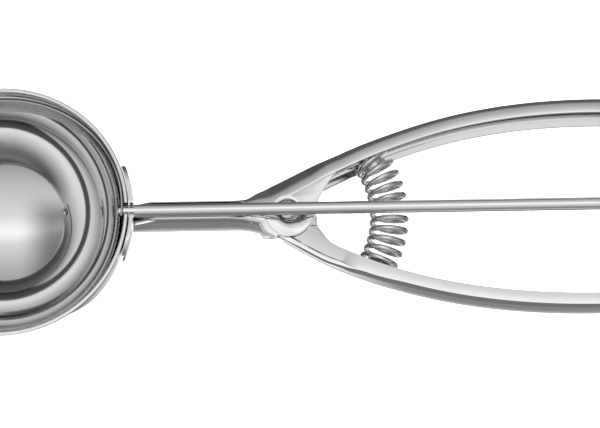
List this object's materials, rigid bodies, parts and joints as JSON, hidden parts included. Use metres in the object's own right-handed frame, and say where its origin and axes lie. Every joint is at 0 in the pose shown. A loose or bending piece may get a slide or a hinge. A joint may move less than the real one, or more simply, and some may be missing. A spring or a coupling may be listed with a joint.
{
  "type": "ice cream scoop",
  "caption": "Spring-loaded ice cream scoop: hemispherical bowl, two sprung squeeze handles, a long rod and a thin blade that sweeps the bowl.",
  "frame": {"origin": "on the floor below the middle of the overall box, with the scoop on its back and the bowl's mouth up", "axes": "+X along the rod from the bowl to the handles' rear end, +Y towards the fixed handle, +Z out of the bowl's mouth"},
  "size_m": [0.2282, 0.06, 0.0395],
  "materials": {
    "bowl_steel": "mirror polished",
    "handle_steel": "polished",
    "rivet_steel": "polished",
    "rod_steel": "polished",
    "spring_steel": "drawn wire, bright",
    "blade_steel": "fine brushed",
    "gear_steel": "machined"
  },
  "bodies": {
    "frame": {"bowl": "bowl_steel", "saddle": "handle_steel", "fixed_handle": "handle_steel", "pivot_rivet": "rivet_steel", "pivot_spacer": "rivet_steel", "far_pin": "rivet_steel", "gear_bracket": "handle_steel", "bracket_rivet_1": "rivet_steel", "bracket_rivet_2": "rivet_steel", "fixed_stud": "gear_steel", "spring": "spring_steel"},
    "lever": {"lever_arm": "handle_steel", "rack": "gear_steel", "rack_rivet_1": "rivet_steel", "rack_rivet_2": "rivet_steel", "lever_stud": "gear_steel"},
    "rod_body": {"rod": "rod_steel", "blade": "blade_steel", "pinion": "gear_steel", "rod_clip": "spring_steel"}
  },
  "joints": [
    {"name": "lever_squeeze", "type": "hinge", "parent": "frame", "child": "lever", "pos_m": [-0.01575, 0, 0.0221], "axis": [0, 0, 1], "range_deg": [0, 8.2], "stiffness_Nm_per_rad": 7, "springref_deg": -4.93, "deforming": ["spring"]},
    {"name": "blade_sweep", "type": "hinge", "parent": "frame", "child": "rod_body", "pos_m": [0.05005, 0, 0.03], "axis": [1, 0, 0], "range_deg": [-160.4, 0]}
  ],
  "couplings": [
    {"joint": "blade_sweep", "follows": "lever_squeeze", "ratio": -19.556}
  ]
}
